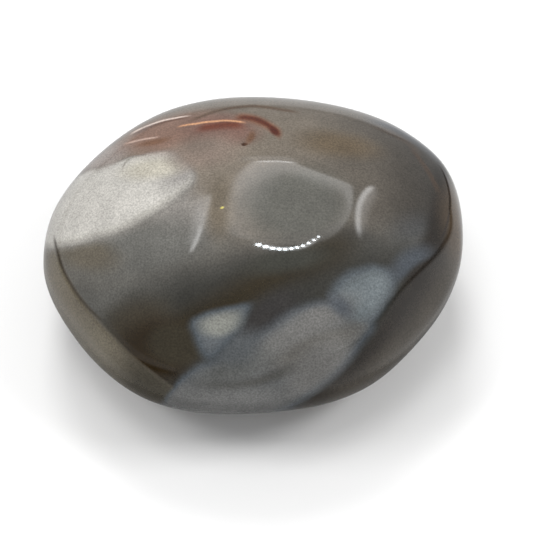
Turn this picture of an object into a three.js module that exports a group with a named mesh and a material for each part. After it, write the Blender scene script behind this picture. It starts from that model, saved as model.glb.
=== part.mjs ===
// Agate palm stone: one piece of banded agate, tumbled and then polished by hand to fit a palm.
//
// The body is a slightly boxy ellipsoid.  Broad facets, ground with a light touch and rounded over
// by the polishing, take its edge off all round, four narrower ones with crisper edges make a belt
// along its right shoulder, and one hard flat underneath lets it stand still.  Millimetres, +Z up.
// The origin is the middle of the stone's footprint: the centre of its box in X and Y, on the plane
// that it rests on.

import * as THREE from 'three';
import { mergeVertices } from 'three/addons/utils/BufferGeometryUtils.js';

// ---- driving dimensions, in millimetres and degrees ----

// The rough pebble before grinding: half sizes along X, Y and Z from its own middle.
const halfLength = 34.6;
const halfWidth = 28.8;
const halfHeight = 19.0;
// 2 would be a true ellipsoid; a little more gives fuller shoulders.
const fullness = 2.11;

// The rest face: how far it lies below the middle, and how wide its edge is rounded over.
const restDepth = 16.8;
const restRounding = 0.8;

// The polished facets, in the order they are ground: heading (0 faces +X, 90 faces +Y), tilt above
// the horizon, distance of the facet's plane from the middle, and softness, which is how far to each
// side of that plane the facet blends into the body.
const facets = [
  { name: 'front left', heading: 215, tilt: -25, distance: 32.5, softness: 6 },
  { name: 'front', heading: 245, tilt: -35, distance: 28.2, softness: 6 },
  { name: 'front keel', heading: 280, tilt: -35, distance: 24.1, softness: 6 },
  { name: 'front right', heading: 315, tilt: -25, distance: 26.9, softness: 5 },
  { name: 'right low', heading: 335, tilt: -20, distance: 28.0, softness: 5 },
  { name: 'right end', heading: 0, tilt: -5, distance: 31.2, softness: 5 },
  { name: 'back left', heading: 140, tilt: 25, distance: 32.6, softness: 6 },
  { name: 'back', heading: 80, tilt: 35, distance: 29.7, softness: 6 },
  { name: 'belt, front', heading: 301, tilt: 12, distance: 28.8, softness: 6.5 },
  { name: 'belt, front right', heading: 319, tilt: 22, distance: 27.4, softness: 1.7 },
  { name: 'belt, right', heading: 334, tilt: 28, distance: 29.1, softness: 1.0 },
  { name: 'belt, right end', heading: 349, tilt: 34, distance: 31.0, softness: 2.1 },
  { name: 'left end', heading: 217, tilt: 0, distance: 32.9, softness: 4.5 },
];

// The mesh: cells along each side of the cube whose six faces wrap the stone.
const cellsPerSide = 28;

const agateColour = 0x7d766e;
const polishRoughness = 0.08;

// ---- shape functions ----

// How deep a point at signed height `past` over a plane is pressed back, with a parabolic blend
// that starts `softness` below the plane and ends `softness` above it.
function pressedBack(past, softness) {
  if (past <= -softness) return 0;
  if (past >= softness) return past;
  return (past + softness) ** 2 / (4 * softness);
}

// The unit normal of a facet.
function facetNormal({ heading, tilt }) {
  const turn = THREE.MathUtils.degToRad(heading);
  const rise = THREE.MathUtils.degToRad(tilt);
  return new THREE.Vector3(Math.cos(rise) * Math.cos(turn), Math.cos(rise) * Math.sin(turn), Math.sin(rise));
}

// The point of the unground pebble in one direction from its middle.
function pebblePoint(direction) {
  const sum =
    Math.abs(direction.x / halfLength) ** fullness +
    Math.abs(direction.y / halfWidth) ** fullness +
    Math.abs(direction.z / halfHeight) ** fullness;
  return direction.clone().multiplyScalar(sum ** (-1 / fullness));
}

// The same point after the facets and the rest face are ground.
function stonePoint(direction) {
  const point = pebblePoint(direction);
  for (const facet of facets) {
    const normal = facetNormal(facet);
    const depth = pressedBack(point.dot(normal) - facet.distance, facet.softness);
    point.addScaledVector(normal, -depth);
  }
  const belowRest = -point.z - restDepth;
  point.z = belowRest >= restRounding ? -restDepth : point.z + pressedBack(belowRest, restRounding);
  return point;
}

// A cube whose faces are cut into cells and spread evenly over the ball around it.  Each coordinate
// is bent by a tangent first, so that cells at a cube corner are about as large as those between.
function ballOfCells(cells) {
  const cube = new THREE.BoxGeometry(2, 2, 2, cells, cells, cells);
  cube.deleteAttribute('normal');
  cube.deleteAttribute('uv');
  const ball = mergeVertices(cube);
  const corner = ball.attributes.position;
  for (let i = 0; i < corner.count; i += 1) {
    const direction = new THREE.Vector3().fromBufferAttribute(corner, i);
    direction.set(...direction.toArray().map((side) => Math.tan((side * Math.PI) / 4)));
    direction.normalize();
    corner.setXYZ(i, direction.x, direction.y, direction.z);
  }
  return ball;
}

// Turns the diagonal of every four-sided cell to its longer one, so that each triangle's longest
// side is the diagonal, all over the stone.  BoxGeometry writes the two triangles of a cell one
// after the other, as a b d and b c d.
function useLongerDiagonals(geometry) {
  const corner = geometry.attributes.position;
  const order = geometry.index;
  const at = (i) => new THREE.Vector3().fromBufferAttribute(corner, i);
  for (let first = 0; first < order.count; first += 6) {
    const a = order.getX(first);
    const b = order.getX(first + 1);
    const d = order.getX(first + 2);
    const c = order.getX(first + 4);
    if (at(a).distanceTo(at(c)) > at(b).distanceTo(at(d))) {
      [a, b, c, a, c, d].forEach((vertex, step) => order.setX(first + step, vertex));
    }
  }
}

// ---- the stone ----

function buildStone() {
  const geometry = ballOfCells(cellsPerSide);
  const corner = geometry.attributes.position;
  for (let i = 0; i < corner.count; i += 1) {
    const point = stonePoint(new THREE.Vector3().fromBufferAttribute(corner, i));
    corner.setXYZ(i, point.x, point.y, point.z);
  }
  useLongerDiagonals(geometry);
  geometry.computeVertexNormals();
  return geometry;
}

const stoneGeometry = buildStone();
stoneGeometry.computeBoundingBox();
const stoneBox = stoneGeometry.boundingBox;
const footprintMiddle = stoneBox.getCenter(new THREE.Vector3());

const agate = new THREE.MeshStandardMaterial({
  color: agateColour,
  roughness: polishRoughness,
  metalness: 0,
});

const palmStone = new THREE.Mesh(stoneGeometry, agate);
palmStone.name = 'palm_stone';
palmStone.position.set(-footprintMiddle.x, -footprintMiddle.y, restDepth);

const group = new THREE.Group();
group.add(palmStone);

export default group;
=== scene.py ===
# An agate palm stone on a pale studio board: one piece, tumbled, ground with soft facets and then
# polished by hand.  Everything is in metres, in the part's own frame, unless a name says mm.

import math
from functools import partial

import bmesh
import bpy
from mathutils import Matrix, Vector


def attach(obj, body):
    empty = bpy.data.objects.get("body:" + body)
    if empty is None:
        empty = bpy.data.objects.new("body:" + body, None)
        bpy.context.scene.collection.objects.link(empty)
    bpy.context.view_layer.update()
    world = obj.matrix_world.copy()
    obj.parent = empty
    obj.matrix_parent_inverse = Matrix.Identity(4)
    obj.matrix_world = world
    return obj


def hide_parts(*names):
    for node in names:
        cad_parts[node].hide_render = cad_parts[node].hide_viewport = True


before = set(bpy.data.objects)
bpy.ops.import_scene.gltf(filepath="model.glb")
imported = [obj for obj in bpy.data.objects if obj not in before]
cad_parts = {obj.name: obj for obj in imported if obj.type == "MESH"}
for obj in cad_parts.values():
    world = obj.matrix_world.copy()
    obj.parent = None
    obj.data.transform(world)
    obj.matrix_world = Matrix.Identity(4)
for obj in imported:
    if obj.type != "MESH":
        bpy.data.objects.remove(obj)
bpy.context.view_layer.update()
mm = 0.001


# ---- The camera ----
# A long lens looks down on the stone's front, aimed a little to the right of its middle.

camera_rise = math.radians(55)
camera_distance = 0.3149
camera_lens_mm = 135
sensor_width_mm = 36
aim_point = Vector((2.23, -1.32, 16.08)) * mm

towards_camera = Vector((0, -math.cos(camera_rise), math.sin(camera_rise)))
camera = bpy.data.objects.new("camera", bpy.data.cameras.new("camera"))
camera.data.lens = camera_lens_mm
camera.data.sensor_width = sensor_width_mm
camera.location = aim_point + towards_camera * camera_distance
camera.rotation_euler = (-towards_camera).to_track_quat("-Z", "Y").to_euler()
bpy.context.collection.objects.link(camera)
bpy.context.scene.camera = camera


# ---- The palm stone: its form ----
# One piece of agate that fills a palm, tumbled to an oval and ground with soft facets.  The solid
# part gives the form: its triangles are joined back into four-sided cells, and a subdivision
# surface rounds them.

join_distance = 0.001 * mm
rounding_levels = 2


def square_cells(node):
    """A merged copy of a node's triangles, with the diagonal of every cell taken out."""
    cells = bmesh.new()
    cells.from_mesh(node.data)
    bmesh.ops.remove_doubles(cells, verts=cells.verts, dist=join_distance)
    longest = {face: max(face.edges, key=lambda edge: edge.calc_length()) for face in cells.faces}
    diagonals = [
        edge for edge in cells.edges
        if all(longest[face] == edge for face in edge.link_faces)
    ]
    bmesh.ops.dissolve_edges(cells, edges=diagonals, use_verts=False)
    return cells


stone = bpy.data.objects.new("agate_palm_stone", bpy.data.meshes.new("agate_palm_stone"))
cells = square_cells(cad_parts["palm_stone"])
cells.to_mesh(stone.data)
cells.free()
bpy.context.collection.objects.link(stone)
for polygon in stone.data.polygons:
    polygon.use_smooth = True
rounding = stone.modifiers.new("rounding", "SUBSURF")
rounding.levels = rounding_levels
rounding.render_levels = rounding_levels


# ---- The palm stone: its agate ----
# Grey-brown chalcedony.  Opaque white clouds with bluish edges sit in it, iron has stained it
# along hair-fine healed cracks, and its back is banded.  Some highlights, shadows and
# reflections are painted into its colour as well.


def linear(hex_colour):
    """An sRGB hex colour as linear red, green, blue and a full alpha."""
    channels = [int(hex_colour[i:i + 2], 16) / 255 for i in (1, 3, 5)]
    return [c / 12.92 if c <= 0.04045 else ((c + 0.055) / 1.055) ** 2.4 for c in channels] + [1]


def add(tree, kind, *inputs, **settings):
    """Adds a node.  Each input is a value, a socket to link, or None to leave it as it is."""
    new = tree.nodes.new(kind)
    for name, value in settings.items():
        setattr(new, name, value)
    for socket, value in zip(new.inputs, inputs):
        if isinstance(value, bpy.types.NodeSocket):
            tree.links.new(value, socket)
        elif value is not None:
            socket.default_value = value
    return new


# how a map range is eased in and out
smooth = {"interpolation_type": "SMOOTHSTEP"}
# how fine and how rough most noise is, and between which values it mostly lies
noise_detail = 2.0
noise_falloff = 0.5
noise_span = (0.3, 0.7)

stone_middle = Vector((1.72, -0.29, 16.8)) * mm
face_lean = math.radians(55)


def figure_position(tree):
    """Millimetres across, up and out from the stone's middle, square on to its front face."""
    here = add(tree, "ShaderNodeTexCoord").outputs["Object"]
    centred = add(tree, "ShaderNodeVectorMath", here, stone_middle, operation="SUBTRACT")
    return add(tree, "ShaderNodeMapping", centred.outputs[0], None,
               (face_lean - math.pi / 2, 0, 0), (1 / mm, 1 / mm, 1 / mm)).outputs[0]


def warped(tree, position, grain_mm, shift_mm, seed):
    """The position pushed about by smooth noise: grain_mm across, up to about shift_mm."""
    moved = add(tree, "ShaderNodeMapping", position, (seed, 2 * seed, -seed))
    noise = add(tree, "ShaderNodeTexNoise", moved.outputs[0], None, 1 / grain_mm, noise_detail,
                noise_falloff)
    # noise swings about 0.5
    push = add(tree, "ShaderNodeVectorMath", noise.outputs["Color"], (0.5, 0.5, 0.5),
               operation="SUBTRACT")
    return add(tree, "ShaderNodeVectorMath", push.outputs[0], (2 * shift_mm,) * 3, position,
               operation="MULTIPLY_ADD").outputs[0]


def overlap(tree, *covers):
    """The product of the covers, which is 1 where every one of them is."""
    product = covers[0]
    for cover in covers[1:]:
        product = add(tree, "ShaderNodeMath", product, cover, operation="MULTIPLY").outputs[0]
    return product


def along_arc(tree, position, start, end, bulge):
    """Distances from the middle of an arc's chord: along it, and out to the left of the arc.

    The arc is bulge to the left of its chord in the middle, as seen from its start.
    """
    run = Vector(end) - Vector(start)
    middle = (Vector(start) + Vector(end)) / 2
    local = add(tree, "ShaderNodeMapping", position, (middle.x, middle.y, 0),
                (0, 0, math.atan2(run.y, run.x)), vector_type="TEXTURE")
    along, aside = add(tree, "ShaderNodeSeparateXYZ", local.outputs[0]).outputs[:2]
    square = add(tree, "ShaderNodeMath", along, along, operation="MULTIPLY")
    bend = 4 * bulge / run.length ** 2
    lift = add(tree, "ShaderNodeMath", square.outputs[0], bend, -bulge, operation="MULTIPLY_ADD")
    return along, add(tree, "ShaderNodeMath", aside, lift.outputs[0]).outputs[0]


def inside(tree, position, *arcs):
    """1 to the left of every arc, fading to 0 across it; an arc is start, end, bulge and fade."""
    sides = []
    for start, end, bulge, fade in arcs:
        left = along_arc(tree, position, start, end, bulge)[1]
        side = add(tree, "ShaderNodeMapRange", left, -fade / 2, fade / 2, **smooth)
        sides.append(side.outputs[0])
    return overlap(tree, *sides)


def cloud(tree, position, centre, radii, turn=0, edge=1.0):
    """1 inside a soft ellipsoid and 0 outside; edge is the share of the radius that fades."""
    local = add(tree, "ShaderNodeMapping", position, centre, (0, 0, math.radians(turn)), radii,
                vector_type="TEXTURE")
    away = add(tree, "ShaderNodeVectorMath", local.outputs[0], operation="LENGTH")
    return add(tree, "ShaderNodeMapRange", away.outputs["Value"], 1 + edge / 2, 1 - edge / 2,
               **smooth).outputs[0]


def stroke(tree, position, start, end, bulge, width, end_fade):
    """1 on an arc, fading to 0 at half the width to each side of it and past its two ends."""
    half_run = (Vector(end) - Vector(start)).length / 2
    along, left = along_arc(tree, position, start, end, bulge)
    limits = (
        (left, 0, width / 2),
        (along, half_run - end_fade / 2, half_run + end_fade / 2),
    )
    parts = []
    for distance, full, none in limits:
        size = add(tree, "ShaderNodeMath", distance, operation="ABSOLUTE")
        part = add(tree, "ShaderNodeMapRange", size.outputs[0], none, full, **smooth)
        parts.append(part.outputs[0])
    return overlap(tree, *parts)


def painted(tree, colour, layers, where):
    """The colour with layers laid over it one after the other, as far as where allows.

    A layer is its hex colour, the share of cover at which it starts and at which it is full, and
    the covers that it lies under.
    """
    for hex_colour, start, full, *covers in layers:
        cover = overlap(tree, *covers, where)
        part = add(tree, "ShaderNodeMapRange", cover, start, full).outputs[0]
        # inputs 1 to 5 of a colour mix are for other kinds of mix
        colour = add(tree, "ShaderNodeMix", part, *(None,) * 5, colour, linear(hex_colour),
                     data_type="RGBA").outputs[2]
    return colour


body_colour = "#6A635A"
# the figure's depth is measured from a plane that leans back, so that it meets the stone's
# outline; broad shapes go deeper into the stone than thin lines do
silhouette_slope = 0.33
broad_depth_mm = (-10, -2)
thin_depth_mm = (-5, -1)

# the old cavity wall that the back's bands follow, and how far apart the bands are
wall_middle_mm = (14, -4, -20)
wall_turn = math.radians(20)
wall_stretch = (1.5, 0.9, 1.1)
band_pitch_mm = 1.9
band_falloff = 0.6
mottle_mm = 13


def agate_figure(tree, place):
    """The stone's colours, with a front figure and a back figure that fade into each other."""
    drift = warped(tree, place, grain_mm=12, shift_mm=0.8, seed=3)
    ripple = warped(tree, drift, grain_mm=2.6, shift_mm=0.3, seed=8)

    # what lies in the body drifts with it, white masses and specks are ragged as well, and what
    # the grinding left is crisp, as are the reflections and the glint that are painted on it
    at = partial(cloud, tree, drift)
    within = partial(inside, tree, drift)
    line = partial(stroke, tree, drift)
    ragged_at = partial(cloud, tree, ripple)
    ragged_within = partial(inside, tree, ripple)
    crisp_at = partial(cloud, tree, place)
    crisp_within = partial(inside, tree, place)
    crisp_line = partial(stroke, tree, place)

    depth = add(tree, "ShaderNodeVectorMath", place, (0, silhouette_slope, 1),
                operation="DOT_PRODUCT").outputs["Value"]
    front = add(tree, "ShaderNodeMapRange", depth, *broad_depth_mm, **smooth).outputs[0]
    facing = add(tree, "ShaderNodeMapRange", depth, *thin_depth_mm, **smooth).outputs[0]
    behind = add(tree, "ShaderNodeMath", 1.0, front, operation="SUBTRACT").outputs[0]

    # the back: bands that follow an old cavity wall round a second white cloud
    bent = warped(tree, place, grain_mm=16, shift_mm=2.6, seed=21)
    from_wall = add(tree, "ShaderNodeMapping", bent, wall_middle_mm, (0, 0, wall_turn),
                    wall_stretch, vector_type="TEXTURE")
    shell = add(tree, "ShaderNodeVectorMath", from_wall.outputs[0], operation="LENGTH")
    wave = add(tree, "ShaderNodeTexNoise", None, shell.outputs["Value"], 1 / band_pitch_mm,
               noise_detail, band_falloff, noise_dimensions="1D")
    wave = add(tree, "ShaderNodeMapRange", wave.outputs[0], *noise_span, -1.0, 1.0).outputs[0]
    stirred = warped(tree, place, grain_mm=20, shift_mm=3, seed=40)
    mottle = add(tree, "ShaderNodeTexNoise", stirred, None, 1 / mottle_mm, noise_detail,
                 noise_falloff).outputs[0]
    bands = within(((-20, 30), (-6, -30), 4, 9))

    # the front: where the white masses, the blob, the cream patch and a paler facet lie
    mass = ragged_within(((4.5, -22.0), (19.7, -3.8), -1.3, 3.0),
                         ((12.6, -7.9), (3.0, -7.2), -0.8, 3.0),
                         ((8.9, -5.0), (-9.3, -16.3), 0.9, 4.0),
                         ((-9.5, -13.0), (-15.6, -24.0), -1.0, 2.0))
    lobe = overlap(tree, ragged_within(((9.4, -15.6), (19.8, -2.4), -0.8, 3.4)),
                   ragged_at((16.0, -6.1, 20), (5.6, 4.3, 20), 0, 0.75))
    white = add(tree, "ShaderNodeMath", mass, lobe, operation="MAXIMUM").outputs[0]
    blob = ragged_within(((-2.0, -6.6), (-10.4, -9.3), -0.5, 1.7),
                         ((-8.4, -14.8), (-2.0, -6.2), -0.7, 3.0),
                         ((-10.2, -8.7), (-8.1, -15.0), -0.4, 2.8))
    patch = ragged_within(((-14.2, 16.8), (-31.2, 11.9), -0.5, 0.9),
                          ((-9.6, 10.2), (-15.6, 17.3), -1.4, 3.0),
                          ((-35.0, 2.2), (-10.0, 11.9), -3.0, 3.6))
    pale_facet = crisp_within(((-11.6, -20.4), (-32.4, 1.6), 1.9, 0.9))

    back_layers = (
        ("#4A4239", 0.35, 0.65, mottle),
        # the wave's crests are pale bands, and its troughs, below nought, are dark ones
        ("#8B867C", 0.05, 1.20, wave, bands),
        ("#39312A", -0.10, -1.20, wave, bands),
        ("#5D6266", 0.00, 0.45, at((12, 3, -17), (13, 8, 9), 15, 0.5)),
        ("#A19D95", 0.45, 1.00, at((12, 3, -17), (12, 7, 8.5), 15, 0.6)),
        ("#6A4634", 0.00, 1.60, at((-15, 9, -12), (8, 4, 6), -25, 1.2)),
    )
    front_layers = (
        # the body, warm and pinkish above, dim to the right, greyer below
        ("#756C61", 0.00, 1.00, at((-8, 18, 2), (17, 7, 16))),
        # a painted reflection: the pale soft side of the streak that the polish mirrors here
        ("#7E7A75", 0.00, 1.00, at((-12.5, 7.5, 14), (5.5, 6, 20), 0, 1.2)),
        ("#62615D", 0.00, 1.00, at((-19, 1.0, 14), (13, 4.5, 20), 6)),
        ("#585751", 0.00, 1.00, at((5.2, 8.2, 18), (8.0, 5.6, 20), 0, 0.8)),
        ("#7A7166", 0.00, 1.00, at((-7.4, 12.8, 15), (3.6, 4.4, 20), 0, 1.3)),
        ("#6C6356", 0.00, 1.00, at((-6.4, 7.6, 17), (2.0, 4.4, 20), -6, 1.2)),
        ("#3A3733", 0.00, 1.00, within(((17, 30), (17, -20), 0, 22))),
        ("#3E4147", 0.00, 1.00, at((24, 1.5, 15), (4.5, 4, 20), -30, 1.2)),
        ("#2E2B28", 0.00, 1.20, at((13.6, 2.4, 18), (4.2, 2.2, 20), -16, 1.2)),
        ("#51504C", 0.00, 1.00, within(((35, 6), (-35, -3), 0, 9))),
        # the dark band, olive along its middle
        ("#302F2B", 0.00, 1.00, within(((25, 0.5), (-24.5, -9.5), -5.3, 6.6))),
        ("#2B2416", 0.00, 1.00, line((12.5, 2.5), (-17.5, -15), -1.2, 8.5, 7)),
        ("#38332A", 0.00, 1.00, at((-18.5, -10.2, 18), (5.5, 4, 20), 30)),
        ("#363630", 0.00, 1.00, at((3.6, -0.2, 22), (6.0, 1.7, 20), 12, 1.3)),
        ("#271E11", 0.00, 1.00, at((-16, -13.8, 20), (5.5, 5, 20))),
        ("#5C564B", 0.00, 1.00, at((-26.5, 0.6, 10), (5, 2.6, 20), -10)),
        ("#302E2D", 0.00, 1.00, at((0.5, -8.8, 23), (5.5, 2.6, 20), 38)),
        # the facets beside it: a paler one to the left, dark ones to the right
        ("#5E584E", 0.00, 1.00, pale_facet),
        ("#645D50", 0.00, 1.00, pale_facet, at((-31, -6, 6), (4.5, 8, 20))),
        ("#686255", 0.00, 1.00, pale_facet, at((-25.0, -14.5, 10), (4, 6, 20), 40)),
        ("#3F3B32", 0.00, 1.00, pale_facet, at((-17, -18.5, 16), (5, 4, 20), -40, 1.2)),
        ("#2A2622", 0.00, 1.00, within(((21.6, -2.5), (5.2, -21.8), 1.6, 2.5))),
        ("#48433C", 0.00, 1.00, within(((25.2, -5.0), (6.4, -22.6), 1.6, 4.5))),
        # the white masses: translucent and bluish at the rim, opaque inside
        ("#474D53", 0.00, 0.50, white),
        ("#5A5B5B", 0.40, 1.00, white),
        ("#5E6568", 0.00, 1.00, lobe, at((16.0, -5.0, 20), (6, 5, 20))),
        ("#6B7275", 0.00, 1.00, white, at((16.0, -4.9, 20), (3.6, 2.4, 20), 20)),
        ("#6D6C6A", 0.00, 1.00, white, at((5.2, -10.3, 22), (8.0, 2.6, 20), 28)),
        ("#5E5C58", 0.00, 1.00, white, at((8, -13.0, 22), (7, 1.8, 20), 22)),
        ("#474642", 0.00, 1.30, white, line((-9, -18.6), (7, -15.2), -1, 3, 4)),
        ("#656564", 0.00, 1.00, white, at((-5, -21.4, 18), (10, 2.4, 20))),
        ("#535452", 0.00, 1.00, white, at((-4.6, -15.2, 22), (5.6, 2.4, 20), 20, 1.6)),
        ("#4C4F51", 0.00, 1.00, at((-3.6, -13.0, 22), (3.0, 2.2, 20), 30, 1.5)),
        ("#4D5156", 0.00, 1.00, at((11.2, -7.0, 21), (1.9, 1.2, 20), -40, 1.5)),
        ("#686765", 0.00, 1.00, white, at((8.5, -16.5, 20), (5.5, 3.5, 20), 45)),
        ("#322D22", 0.00, 1.00, at((-12.9, -12.8, 21), (4.0, 3.1, 20), 0, 0.7)),
        ("#474C52", 0.00, 1.00, at((22.4, -1.2, 16), (3.6, 2.2, 20), 35, 1.2),
         within(((17.5, -6.0), (27.5, 1.2), 0.5, 1.2))),
        # the blob
        ("#484E53", 0.00, 0.50, blob),
        ("#595D60", 0.40, 1.00, blob),
        # a painted highlight on the blob
        ("#80817B", 0.00, 1.00, blob, at((-5.9, -9.5, 22), (3.2, 1.6, 20), 14)),
        # the cream patch
        ("#7C7974", 0.00, 0.45, patch),
        ("#ABA8A1", 0.30, 0.80, patch),
        ("#B8B5AF", 0.75, 1.00, patch),
        ("#807C79", 0.00, 1.20, patch, at((-11.8, 14.2, 12), (4.0, 3.1, 20), 30, 1.3)),
        ("#B4AFA2", 0.00, 1.00, patch, at((-17, 13.7, 10), (4.6, 1.6, 20), 8, 1.2)),
        # broad iron stains
        ("#938A84", 0.00, 1.00, at((-24.5, 15.8, 3), (4.5, 1.6, 14), 22)),
        ("#806558", 0.00, 1.00, at((-14, 19.6, 4), (8, 3, 14), 12)),
        ("#775B51", 0.00, 1.00, at((-6.5, 19.8, 7), (5.5, 2.4, 14))),
        ("#7E7066", 0.00, 1.00, at((-9.0, 16.3, 9), (4.8, 2.4, 14), 8, 1.3)),
        ("#625441", 0.00, 1.20, at((11.5, 17.4, 9), (5.5, 2.0, 14), -8, 1.3)),
        ("#57493A", 0.00, 1.20, at((31, 6, 4), (4, 6, 14))),
    )
    thin_layers = (
        # narrow iron stains
        ("#70513E", 0.00, 1.00, at((-16.8, 18.1, 6), (2.3, 0.5, 9), 10, 1.2)),
        # the red-brown under the third crack is an iron stain and a painted shadow
        ("#683524", 0.00, 1.00, line((-10.2, 20.0), (-3.4, 20.4), 0.2, 2.0, 2.5)),
        ("#7A503A", 0.00, 1.00, line((-4.2, 21.7), (2.5, 19.1), 0.85, 2.4, 1.6)),
        ("#552513", 0.00, 0.90, line((-3.8, 21.6), (2.2, 19.3), 0.85, 1.3, 1.4)),
        ("#4A1E12", 0.00, 1.00, at((1.5, 19.7, 8), (0.9, 0.5, 9), -42, 1.2)),
        ("#54402F", 0.00, 1.20, line((-11.2, 21.4), (5.0, 23.0), 1.4, 1.0, 2.4)),
        # painted reflections: a pale rim along the far right shoulder, where the polish mirrors
        # the board, and dark lines along the facet edges, where it mirrors the seam round the
        # board
        ("#54575C", 0.00, 1.00, crisp_line((17.5, 21.8), (27.8, 15.6), 0.9, 2.8, 4.0)),
        ("#4E4238", 0.00, 1.60, line((17.4, 21.0), (24.6, 16.5), 0.4, 1.4, 3.0)),
        ("#4B3C30", 0.00, 1.40, line((23.3, 17.0), (26.8, 10.3), 0.3, 1.4, 2.5)),
        ("#2E2A28", 0.00, 1.50, crisp_line((28.2, 13.8), (26.9, 2.7), 1.15, 0.7, 2.0)),
        # the mirrored seam's dark line, painted along the left facet edge as well
        ("#352E25", 0.00, 1.20, crisp_line((-32.2, 3.2), (-24.2, -9.2), -1.2, 0.9, 2.0)),
        # healed cracks: pale veins painted bright as highlights, with a painted shadow under the
        # first
        ("#5A3A2E", 0.00, 1.50, line((-20.2, 19.5), (-12.2, 22.0), 0.6, 0.9, 2.0)),
        ("#DCC9BE", 0.00, 0.90, line((-20.5, 19.8), (-11.9, 22.3), 0.6, 0.5, 2.0)),
        ("#B99F92", 0.00, 1.00, line((-21.4, 18.0), (-16.4, 19.0), 0.1, 0.5, 1.5)),
        ("#CE9A74", 0.00, 0.90, line((-12.9, 20.5), (-3.3, 20.9), 0.3, 0.5, 1.5)),
        # two rusty specks, a painted yellow glint in a pit, and a scratch in the cream patch
        ("#3A2213", 0.00, 1.00, ragged_at((-2.8, 17.8, 10), (0.5, 0.25, 6), 0, 0.9)),
        ("#6B4E3B", 0.00, 1.00, ragged_at((-2.1, 18.8, 9), (0.5, 0.9, 6), -20, 1.5)),
        ("#C9BE6A", 0.00, 1.00, crisp_at((-6.1, 7.5, 17), (0.26, 0.15, 6), 20, 1.4)),
        ("#8B8780", 0.00, 1.30, crisp_line((-21.6, 13.6), (-19.6, 15.7), 0.5, 0.7, 1.2)),
    )
    colour = painted(tree, linear(body_colour), back_layers, behind)
    colour = painted(tree, colour, front_layers, front)
    return painted(tree, colour, thin_layers, facing)


agate_ior = 1.54
# both are a size in mm, and the least and most share of the colour that they leave; the grain is
# coarser than agate's crystals, which are too fine to show
cloudiness = (5.0, 0.88, 1.12)
grain = (0.28, 0.75, 1.25)
# where hands have dulled the polish, and the shallow waves that the grinding left
smear_mm = 6
smear_roughness = (0.035, 0.055)
wave_mm = 7
wave_detail = 1.0
wave_depth_mm = 0.012


def polished_agate():
    """Chalcedony, tumbled and polished by hand: a glassy skin over a cloudy, grained body."""
    material = bpy.data.materials.new("polished_agate")
    material.use_nodes = True
    tree = material.node_tree
    shader = tree.nodes["Principled BSDF"]
    shader.inputs["IOR"].default_value = agate_ior

    place = figure_position(tree)
    colour = agate_figure(tree, place)
    for size_mm, least, most in (cloudiness, grain):
        noise = add(tree, "ShaderNodeTexNoise", place, None, 1 / size_mm, noise_detail,
                    noise_falloff)
        gain = add(tree, "ShaderNodeMapRange", noise.outputs[0], *noise_span, least, most)
        colour = add(tree, "ShaderNodeVectorMath", colour, gain.outputs[0],
                     operation="MULTIPLY").outputs[0]
    tree.links.new(colour, shader.inputs["Base Color"])

    smear = add(tree, "ShaderNodeTexNoise", place, None, 1 / smear_mm, noise_detail,
                noise_falloff)
    dulled = add(tree, "ShaderNodeMapRange", smear.outputs[0], *noise_span, *smear_roughness)
    tree.links.new(dulled.outputs[0], shader.inputs["Roughness"])
    waves = add(tree, "ShaderNodeTexNoise", place, None, 1 / wave_mm, wave_detail, noise_falloff)
    skin = add(tree, "ShaderNodeBump", 1.0, wave_depth_mm * mm, None, waves.outputs[0])
    tree.links.new(skin.outputs[0], shader.inputs["Normal"])
    return material


stone.data.materials.append(polished_agate())
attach(stone, "root")
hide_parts("palm_stone")


# ---- The board ----
# A plain sheet of pale matt card under the stone.

board_half_size = 0.9
card_colour = "#DCDCDC"
board = bpy.data.objects.new("board", bpy.data.meshes.new("board"))
sheet = bmesh.new()
bmesh.ops.create_grid(sheet, x_segments=1, y_segments=1, size=board_half_size)
sheet.to_mesh(board.data)
sheet.free()
bpy.context.collection.objects.link(board)
# what the polish mirrors of the board is drawn with the light tent
board.visible_glossy = False


def matt_card():
    """Uncoated pale card: no gloss at all."""
    material = bpy.data.materials.new("matt_card")
    material.use_nodes = True
    shader = material.node_tree.nodes["Principled BSDF"]
    shader.inputs["Base Color"].default_value = linear(card_colour)
    shader.inputs["Roughness"].default_value = 1.0
    shader.inputs["Specular IOR Level"].default_value = 0.0
    return material


board.data.materials.append(matt_card())


# ---- The light tent ----
# White cloth round the board fills the shadows evenly.  What the polish mirrors is drawn by
# direction: a dark seam round the board, dim walls, and a ceiling with a pale-edged panel, a gap
# in the cloth to each side of it and the glow of a row of small lamps.

tent_height_mm = 500
wall_radiance = 0.25
fill_radiance = 0.70
backdrop_radiance = 1.1
# keeps directions close to the horizon from running off to infinity on the ceiling
least_height = 0.02
# a cloud this tall takes no notice of the height
any_height = 9999


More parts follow.
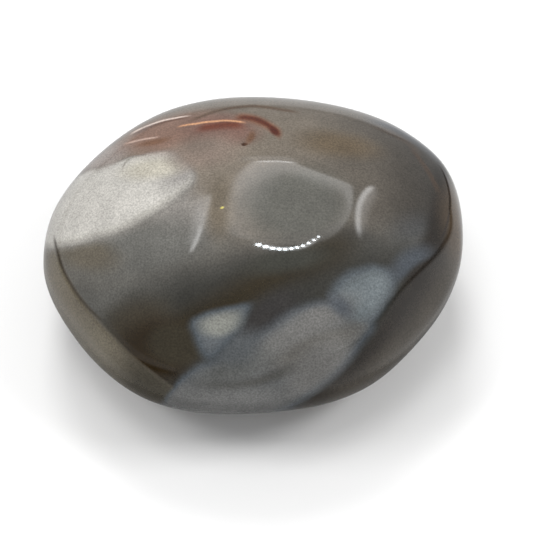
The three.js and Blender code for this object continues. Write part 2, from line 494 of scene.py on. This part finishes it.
def mirrored_glow(tree):
    """The radiance that the polish mirrors from each direction."""
    toward = add(tree, "ShaderNodeTexCoord").outputs["Generated"]
    across, back, height = add(tree, "ShaderNodeSeparateXYZ", toward).outputs

    # millimetres on the ceiling, to the right and back from straight above the stone
    upward = add(tree, "ShaderNodeMath", height, least_height, operation="MAXIMUM").outputs[0]
    slope = add(tree, "ShaderNodeVectorMath", toward, upward, operation="DIVIDE").outputs[0]
    ceiling = add(tree, "ShaderNodeMapping", slope, None, None, (tent_height_mm,) * 3).outputs[0]
    within = partial(inside, tree, ceiling)
    streak = partial(stroke, tree, ceiling)

    panel = within(((-53, 128), (204, 218), -73, 24), ((202, 200), (248, 425), -9, 40),
                   ((256, 458), (85, 546), 20, 34), ((110, 560), (-30, 556), -6, 26),
                   ((-20, 552), (-72, 151), -22, 46), ((-92, 160), (-8, 96), 0, 30))
    middle = within(((-45, 130), (20, 104), -10, 90), ((0, 84), (210, 205), -66, 30),
                    ((190, 225), (220, 400), -8, 60), ((225, 400), (70, 480), 10, 110),
                    ((150, 470), (-40, 470), -8, 150), ((36, 500), (-28, 150), -20, 96))
    middle = overlap(tree, middle, panel)
    ceiling_back = add(tree, "ShaderNodeSeparateXYZ", ceiling).outputs["Y"]
    panel_rim = add(tree, "ShaderNodeMapRange", ceiling_back, 150, 400, 1.45, 2.8).outputs[0]
    haze = cloud(tree, ceiling, (-36, 500, 0), (60, 100, any_height), -20, 1.4)
    haze = overlap(tree, haze, panel)
    right_gap = within(((352, 530), (250, 180), -32, 16), ((258, 174), (384, 520), 20, 70),
                       ((420, 470), (310, 515), 0, 70), ((220, 200), (330, 176), 0, 24))

    # the seam hangs lower to the left and in the far right corner
    far = add(tree, "ShaderNodeMapRange", back, 0.62, 0.80, 0.0, 0.30).outputs[0]
    to_right = add(tree, "ShaderNodeMapRange", across, 0.34, 0.44).outputs[0]
    to_left = add(tree, "ShaderNodeMapRange", across, -0.5, -0.9, 0.0, 0.08).outputs[0]
    lower = add(tree, "ShaderNodeMath", overlap(tree, far, to_right), to_left).outputs[0]
    seam_height = add(tree, "ShaderNodeMath", height, lower).outputs[0]
    aside = add(tree, "ShaderNodeMath", across, operation="ABSOLUTE").outputs[0]
    seam = add(tree, "ShaderNodeMapRange", aside, 0.3, 0.6, 0.30, 0.02).outputs[0]

    # the board is darker to the left, to the front, and close by, where the stone shades it
    board_light = overlap(
        tree,
        add(tree, "ShaderNodeMapRange", across, -0.6, 0.5, 0.5, 0.85).outputs[0],
        add(tree, "ShaderNodeMapRange", back, -0.5, 0.3, 0.4, 1.0, **smooth).outputs[0],
        add(tree, "ShaderNodeMapRange", height, -0.92, -0.72, 0.2, 1.0, **smooth).outputs[0],
    )

    # each glow is its radiance, what it follows, and where that is none and full
    glows = (
        # the walls, the ceiling behind its front edge, and a wide soft glow behind the panel
        (0.50, back, -0.5, 0.2),
        (0.40, within(((-700, 20), (700, 60), 60, 60)), 0, 1),
        (1.60, streak((-50, 590), (80, 592), 4, 100, 60), 0, 1),
        # the panel: its pale edge, its dim middle, a haze, and the line along its back edge
        (panel_rim, panel, 0, 0.7),
        (0.80, middle, 0, 1),
        (3.20, haze, 0, 1),
        (9.00, streak((-14, 556), (76, 560), 4, 22, 40), 0, 1),
        # the glow of the lamp row
        (5.00, streak((-12, 95), (126, 138), -39, 24, 24), 0, 1),
        # the gaps in the cloth to the left and right of the panel
        (2.20, streak((-142, 350), (-170, 110), 6, 66, 40), 0, 1),
        (3.40, streak((-131, 345), (-174, 84), 9, 26, 40), 0, 1),
        (6.00, streak((-146, 190), (-176, 80), 4, 20, 40), 0, 1),
        (2.80, right_gap, 0, 1),
        (6.20, streak((352, 505), (254, 188), -35, 38, 80), 0, 1),
        # the seam, the board below it, and a pale spot on the board to the far right
        (seam, seam_height, -0.04, -0.10),
        (board_light, seam_height, -0.14, -0.22),
        (0.45, cloud(tree, toward, (0.36, 0.85, -0.45), (0.13, 0.2, 0.2)), 0, 1),
    )
    glow = wall_radiance
    for radiance, follows, none, full in glows:
        cover = add(tree, "ShaderNodeMapRange", follows, none, full).outputs[0]
        glow = add(tree, "ShaderNodeMix", cover, None, glow, radiance).outputs[0]
    return glow


def tent():
    """The surroundings: one even glow for matt surfaces, another by direction for the polish."""
    world = bpy.data.worlds.new("light_tent")
    world.use_nodes = True
    tree = world.node_tree
    tree.nodes.clear()
    white = linear("#FFFFFF")
    fill = add(tree, "ShaderNodeBackground", white, fill_radiance).outputs[0]
    seen = add(tree, "ShaderNodeBackground", white, backdrop_radiance).outputs[0]
    mirrored = add(tree, "ShaderNodeBackground", white, mirrored_glow(tree)).outputs[0]
    ray = add(tree, "ShaderNodeLightPath").outputs
    unseen = add(tree, "ShaderNodeMixShader", ray["Is Glossy Ray"], fill, mirrored).outputs[0]
    light = add(tree, "ShaderNodeMixShader", ray["Is Camera Ray"], unseen, seen).outputs[0]
    add(tree, "ShaderNodeOutputWorld", light)
    return world


bpy.context.scene.world = tent()


# ---- The lamps ----
# A soft key over the front lights the stone, and four softboxes give the board a soft shadow all
# round.  Eleven small lamps hang from the ceiling in a sagging row, as sparks in the polish.


def lamp(name, place, size, radiance):
    """A rectangular lamp that shines straight down with an even radiance."""
    light = bpy.data.lights.new(name, "AREA")
    light.shape = "RECTANGLE"
    light.size, light.size_y = size
    light.energy = radiance * size[0] * size[1] * math.pi
    holder = bpy.data.objects.new(name, light)
    holder.location = place
    holder.visible_camera = False
    bpy.context.collection.objects.link(holder)
    return holder


def shine_on(holder, lit_object):
    """Lets a lamp light one object only; everything still shades it."""
    lit = bpy.data.collections.new(holder.name + "_lights")
    lit.objects.link(lit_object)
    holder.light_linking.receiver_collection = lit


soft_lamp_height = 0.60
key_size = (0.34, 0.24)
softbox_size = (0.18, 0.20)
# each is its name, how far right and back it hangs, its size, its radiance and what it lights
soft_lamps = (
    ("key", -0.06, -0.09, key_size, 9.0, stone),
    ("softbox_right", 0.45, -0.08, softbox_size, 20.5, board),
    ("softbox_left", -0.45, -0.08, softbox_size, 16.0, board),
    ("softbox_behind", -0.06, 0.30, softbox_size, 14.4, board),
    ("softbox_above", -0.06, -0.08, softbox_size, 9.0, board),
)
for name, across, back, size, radiance, lit_object in soft_lamps:
    soft_lamp = lamp(name, (across, back, soft_lamp_height), size, radiance)
    soft_lamp.visible_glossy = False
    shine_on(soft_lamp, lit_object)

row_lamps = 11
row_radiance = 60
row_colour = "#EFF8FF"
# from the row's left end to its right end
row_across_mm = (-8, 128)
row_back_mm = (77, 121)
row_lamp_mm = (9.5, 6.0)
row_sag_mm = 38

for index in range(row_lamps):
    share = index / (row_lamps - 1)
    across_mm, back_mm, lamp_mm = (
        first + (last - first) * share for first, last in (row_across_mm, row_back_mm, row_lamp_mm)
    )
    back_mm -= row_sag_mm * (1 - (2 * share - 1) ** 2)
    place = Vector((across_mm, back_mm, tent_height_mm)) * mm
    row_lamp = lamp(f"row_lamp_{index + 1:02d}", place, (lamp_mm * mm, lamp_mm * mm), row_radiance)
    row_lamp.data.color = linear(row_colour)[:3]
    row_lamp.visible_diffuse = False


# ---- Colours as they are ----

bpy.context.scene.view_settings.view_transform = "Standard"
